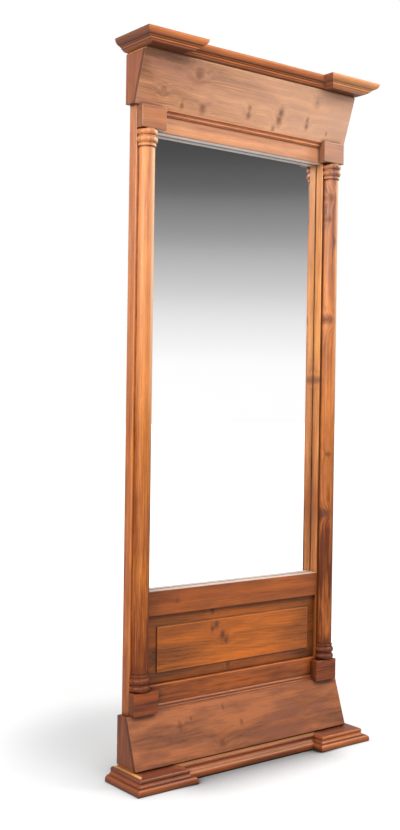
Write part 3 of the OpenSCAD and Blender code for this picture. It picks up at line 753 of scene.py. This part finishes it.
dress(
    pine("base_end_pine", MOULDING, shift=(1.9, 0.1, 0.04), painted_lines=BASE_PAINTED_LINES, ledge=0.60),
    "left_base_front_moulding", "left_base_packing", "right_base_packing")
dress(
    pine("base_side_pine", LOW_CHEEK, along="y", shift=(0.6, 0.2, 0.04), painted_lines=BASE_PAINTED_LINES),
    "right_base_side_moulding", "left_base_return", "right_base_return")
dress(
    pine("lit_side_pine", LOW_CHEEK, along="y", shift=(0.6, 0.2, 0.04), painted_lines=BASE_PAINTED_LINES,
         lit_strip=(0.3695, 0.3800, BASE_TOP), corner=0.4),
    "left_base_side_moulding")
dress(pine("plinth_bead_pine", PLINTH_BEAD, shift=(0.9, 0.4, 0.04), clouds=0.5), "plinth_bead")
dress(
    pine("lit_base_pine", LIT_BASE, shift=(1.9, 0.1, 0.04), painted_lines=BASE_PAINTED_LINES, ledge=0.60),
    "right_base_front_moulding")
dress(
    pine("plinth_pine", PLINTH, shift=(1.1, -0.14, 0.0), knots=PLINTH_KNOTS, gold=0.6, rose=0.75,
         clouds=1.6, streaks=0.30, rings=0.10, ior=1.46, ends=0.95,
         tone_ramps=[("z", 0.11, 0.16, -0.24)]),
    "plinth_board")
dress(
    pine("cheek_pine", CHEEK, along="z", shift=(0.4, 0.6, 0.0), ends=0.0, streaks=0.5, clouds=1.4,
         lit_edge=(CORNICE_FOOT, BEVEL, 0.75)),
    "left_frieze_cheek", "right_frieze_cheek")
dress(
    pine("low_cheek_pine", LOW_CHEEK, along="z", shift=(0.9, 0.2, 0.0), ends=0.0, streaks=0.5,
         clouds=1.5, lit_edge=(BASE_TOP, BEVEL, 0.9)),
    "left_plinth_cheek", "right_plinth_cheek")
dress(
    pine("raw_pine", RAW, shift=(0.1, 0.4, 0.0), gloss=0.6, coat=0.0, ends=0.2),
    "cornice_board", "base_board", "frieze_glue_blocks", "plinth_glue_blocks")

# ---------------------------------------------------------------- glass

# The silver's thickness and the place of its middle, in shares of the gap behind the glass
SILVER_THICKNESS, SILVER_MIDDLE = 0.4, 0.45


def plain_principled(name, values):
    """A material of one shader, with a few of its values set."""
    material = bpy.data.materials.new(name)
    material.use_nodes = True
    shader = material.node_tree.nodes["Principled BSDF"]
    for label, value in values.items():
        shader.inputs[label].default_value = value
    return material


clear_glass = plain_principled("clear_glass", {
    "Base Color": WHITE, "Roughness": 0.0, "IOR": 1.52, "Transmission Weight": 1.0,
})
silver = plain_principled("silver", {
    "Base Color": (0.96, 0.96, 0.96, 1.0), "Roughness": 0.0, "Metallic": 1.0,
})
dress(clear_glass, "mirror_glass")


def add_silvering():
    """The silver on the back of the glass, in the gap in front of the back board."""
    low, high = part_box("mirror_glass")
    board_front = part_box("back_board")[0].y
    gap = board_front - high.y
    mesh = bpy.data.meshes.new("silvering")
    bm = bmesh.new()
    bmesh.ops.create_cube(bm, size=1.0)
    size = Vector((high.x - low.x, SILVER_THICKNESS * gap, high.z - low.z))
    middle = Vector(((low.x + high.x) / 2, high.y + SILVER_MIDDLE * gap, (low.z + high.z) / 2))
    bmesh.ops.scale(bm, vec=size, verts=bm.verts)
    bmesh.ops.translate(bm, vec=middle, verts=bm.verts)
    bm.to_mesh(mesh)
    bm.free()
    mesh.materials.append(silver)
    piece = bpy.data.objects.new("silvering", mesh)
    bpy.context.scene.collection.objects.link(piece)
    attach(piece, "root")


add_silvering()

# ---------------------------------------------------------------- back board and screws

SPECKLE_RANGE = (0.32, 0.68)
FLECK_SHARE, MOTTLE_SHARE = 0.45, 0.55
PLATE_EDGE = 0.0006
PLATE_CORNER_SHARE, PLATE_WEAR = 0.6, 0.5
CORNER_TINT, RUBBED_TINT = (0.4, 0.4, 0.4), (1.3, 1.3, 1.3)
MOTTLE_ROUGHNESS = 0.2
FLECK_BUMP = 0.4


def build_speckle():
    """Fine flecks and wide mottling, for board and metal."""
    tree, n, entry, leave = new_group(
        "speckle",
        [("Place", VECTOR, None), ("Fleck Scale", FLOAT, 400.0), ("Mottle Scale", FLOAT, 14.0)],
        [("Flecks", FLOAT), ("Mottling", FLOAT)],
    )
    for label, scale in (("Flecks", "Fleck Scale"), ("Mottling", "Mottle Scale")):
        noise = n.add("ShaderNodeTexNoise", {"Vector": entry["Place"], "Scale": entry[scale],
                                             "Detail": 5.0, "Roughness": 0.6}).outputs[0]
        n.send(leave, {label: n.remap(noise, *SPECKLE_RANGE, smooth=False)})
    return tree


SPECKLE = build_speckle()


def speckled(name, pale, deep, rough, fleck_scale, mottle_scale, metallic=0.0, relief=0.0002):
    """Hardboard or zinc plate: flecked, mottled, paler on its worn edges and darker in its corners."""
    material, n = new_material(name)
    place = n.add("ShaderNodeTexCoord").outputs["Object"]
    speckle = n.group(SPECKLE, {"Place": place, "Fleck Scale": fleck_scale,
                                "Mottle Scale": mottle_scale})
    arris = n.group(WORN_ARRIS, {"Place": place, "Width": PLATE_EDGE})
    shade = n.math("MULTIPLY", speckle["Flecks"], FLECK_SHARE)
    shade = n.math("MULTIPLY_ADD", speckle["Mottling"], MOTTLE_SHARE, shade)
    color = n.mix(shade, pale, deep)
    # darker in the corners, by ambient occlusion
    corner_darkening = n.math("MULTIPLY", arris["Corner"], PLATE_CORNER_SHARE)
    color = n.mix(corner_darkening, color, tinted(deep, CORNER_TINT))
    wear = n.math("MULTIPLY", arris["Worn"], PLATE_WEAR)
    color = n.mix(wear, color, tinted(pale, RUBBED_TINT))
    spread = n.math("MULTIPLY_ADD", speckle["Mottling"], MOTTLE_ROUGHNESS, rough)
    bump = n.add("ShaderNodeBump", {"Strength": FLECK_BUMP, "Distance": relief,
                                    "Height": speckle["Flecks"],
                                    "Normal": arris["Normal"]}).outputs[0]
    n.output(n.add("ShaderNodeBsdfPrincipled", {
        "Base Color": color, "Roughness": spread, "Metallic": metallic, "Normal": bump,
    }))
    return material


hardboard = speckled("hardboard", srgb(150, 108, 72), srgb(104, 70, 44), 0.6, 500.0, 9.0)
zinc = speckled("zinc", srgb(196, 198, 200), srgb(140, 142, 146), 0.26, 900.0, 160.0,
                metallic=1.0, relief=0.00005)
dress(hardboard, "back_board")
dress(zinc, "back_board_screws", "cornice_screws", "base_screws")

# ---------------------------------------------------------------- studio

# How bright the glass shows the room, by the sine of the angle above level
MIRRORED_ROOM = [
    (0.010, 1.00), (0.040, 0.935), (0.085, 0.68), (0.130, 0.39), (0.173, 0.165), (0.203, 0.065),
    (0.250, 0.035),
]
MIRROR_GAIN = 1.07
ROOM_LIGHT = 0.40
# What glossy wood shows of the room, from low angles above level to high ones
GLOSS_FADE = (math.radians(13), math.radians(26))
ROOM_GLOSS_LOW, ROOM_GLOSS_HIGH = 0.55, 0.25

FLOOR_SIZE = 60.0
FLOOR_WHITE = 0.45
# The floor's glow grows with the distance from the middle of a painted shadow behind the object
PAINTED_SHADOW_MIDDLE = (-0.10, 0.22, 0.0)
FLOOR_GLOW_RAMPS = ((0.27, 0.62, 0.38, 0.64), (0.62, 2.0, 0.0, 0.36))
FLOOR_GLOSS = (1.6, 4.2, 0.0, 0.35)
# Little light reaches the floor in the recess between the base's ends, and a painted shadow from
# ambient occlusion darkens it there
RECESS_REACH, RECESS_SAMPLES = 0.19, 16
RECESS_OPENING = (0.58, 1.0)
RECESS_HALF, RECESS_END, BESIDE_RECESS = 0.20, 0.32, 0.3

# Softboxes, as (name, place, aim, width, height, power)
SOFTBOXES = [
    ("top_softbox", (-0.3, -1.7, 2.9), (0.0, 0.0, 1.4), 1.4, 1.0, 42.0),
    ("left_softbox", (-2.8, -0.9, 2.2), (0.0, 0.0, 1.2), 1.4, 1.8, 80.0),
    ("right_softbox", (2.4, -1.0, 3.0), (0.0, 0.0, 1.0), 1.2, 1.2, 45.0),
]


def add_world():
    """White behind the object, and a room that darkens upwards in the glass."""
    world = bpy.data.worlds.new("studio")
    bpy.context.scene.world = world
    world.use_nodes = True
    world.node_tree.nodes.clear()
    n = Nodes(world.node_tree)
    height = n.split(n.add("ShaderNodeTexCoord").outputs["Generated"])[2]
    ramp = n.add("ShaderNodeValToRGB", {0: height})
    ramp.color_ramp.interpolation = "CARDINAL"
    stops = ramp.color_ramp.elements
    while len(stops) < len(MIRRORED_ROOM):
        stops.new(1.0)
    for stop, (place, shade) in zip(stops, MIRRORED_ROOM):
        stop.position = place
        stop.color = (shade, shade, shade, 1.0)
    rays = n.add("ShaderNodeLightPath").outputs
    low, high = (math.sin(angle) for angle in GLOSS_FADE)
    gloss = n.remap(height, low, high, ROOM_GLOSS_LOW, ROOM_GLOSS_HIGH)
    shown = n.add("ShaderNodeBackground", {"Color": WHITE, "Strength": ROOM_LIGHT})
    for ray, color, strength in (
        ("Is Glossy Ray", WHITE, gloss),
        ("Is Transmission Ray", ramp.outputs[0], MIRROR_GAIN),
        ("Is Camera Ray", WHITE, 1.0),
    ):
        shade = n.add("ShaderNodeBackground", {"Color": color, "Strength": strength})
        shown = n.add("ShaderNodeMixShader", {0: rays[ray], 1: shown.outputs[0], 2: shade.outputs[0]})
    n.output(shown, "ShaderNodeOutputWorld")


def floor_material():
    """White where the camera sees the floor, with painted shadows: a lower glow behind the object, and
    a lower glow and colour in the recess.
    """
    material, n = new_material("floor")
    rays = n.add("ShaderNodeLightPath").outputs
    seen = n.math("MAXIMUM", rays["Is Camera Ray"], rays["Is Transmission Ray"])
    place = n.add("ShaderNodeTexCoord").outputs["Object"]
    away = n.vector("DISTANCE", place, PAINTED_SHADOW_MIDDLE)
    shadowed_glow = n.math("ADD", *(n.remap(away, *limits) for limits in FLOOR_GLOW_RAMPS))
    glow = n.math("MULTIPLY", seen, shadowed_glow)
    glow = n.math("MULTIPLY_ADD", rays["Is Glossy Ray"], n.remap(away, *FLOOR_GLOSS), glow)
    opening = n.add("ShaderNodeAmbientOcclusion", {"Distance": RECESS_REACH},
                    samples=RECESS_SAMPLES).outputs["AO"]
    recess_shadow = n.math("SUBTRACT", 1.0, n.remap(opening, *RECESS_OPENING, smooth=False))
    sideways = n.math("ABSOLUTE", n.split(place)[0])
    recess = n.remap(sideways, RECESS_HALF, RECESS_END, 1.0, BESIDE_RECESS)
    # the painted recess shadow lowers the floor's colour and glow
    light = n.math("SUBTRACT", 1.0, n.math("MULTIPLY", recess, recess_shadow))
    shade = n.math("MULTIPLY", light, FLOOR_WHITE)
    pale = n.add("ShaderNodeCombineColor", {0: shade, 1: shade, 2: shade}).outputs[0]
    body = n.add("ShaderNodeBsdfDiffuse", {"Color": pale}).outputs[0]
    glow = n.math("MULTIPLY", glow, light)
    lit = n.add("ShaderNodeEmission", {"Color": WHITE, "Strength": glow}).outputs[0]
    n.output(n.add("ShaderNodeAddShader", {0: body, 1: lit}))
    return material


def add_floor():
    """A pale floor that keeps the lamps' shadow, adds painted shadows and fades into the white behind
    it.
    """
    mesh = bpy.data.meshes.new("floor")
    bm = bmesh.new()
    bmesh.ops.create_grid(bm, x_segments=1, y_segments=1, size=FLOOR_SIZE / 2)
    bm.to_mesh(mesh)
    bm.free()
    mesh.materials.append(floor_material())
    floor = bpy.data.objects.new("floor", mesh)
    bpy.context.scene.collection.objects.link(floor)


def add_softbox(name, place, aim, width, height, power):
    """A rectangular softbox that faces a point."""
    light = bpy.data.lights.new(name, "AREA")
    light.shape = "RECTANGLE"
    light.size, light.size_y, light.energy = width, height, power
    lamp = bpy.data.objects.new(name, light)
    toward = Vector(aim) - Vector(place)
    turn = toward.to_track_quat("-Z", "Y").to_matrix().to_4x4()
    lamp.matrix_world = Matrix.Translation(place) @ turn
    bpy.context.scene.collection.objects.link(lamp)


add_world()
add_floor()
for softbox in SOFTBOXES:
    add_softbox(*softbox)
bpy.context.scene.view_settings.view_transform = "Standard"
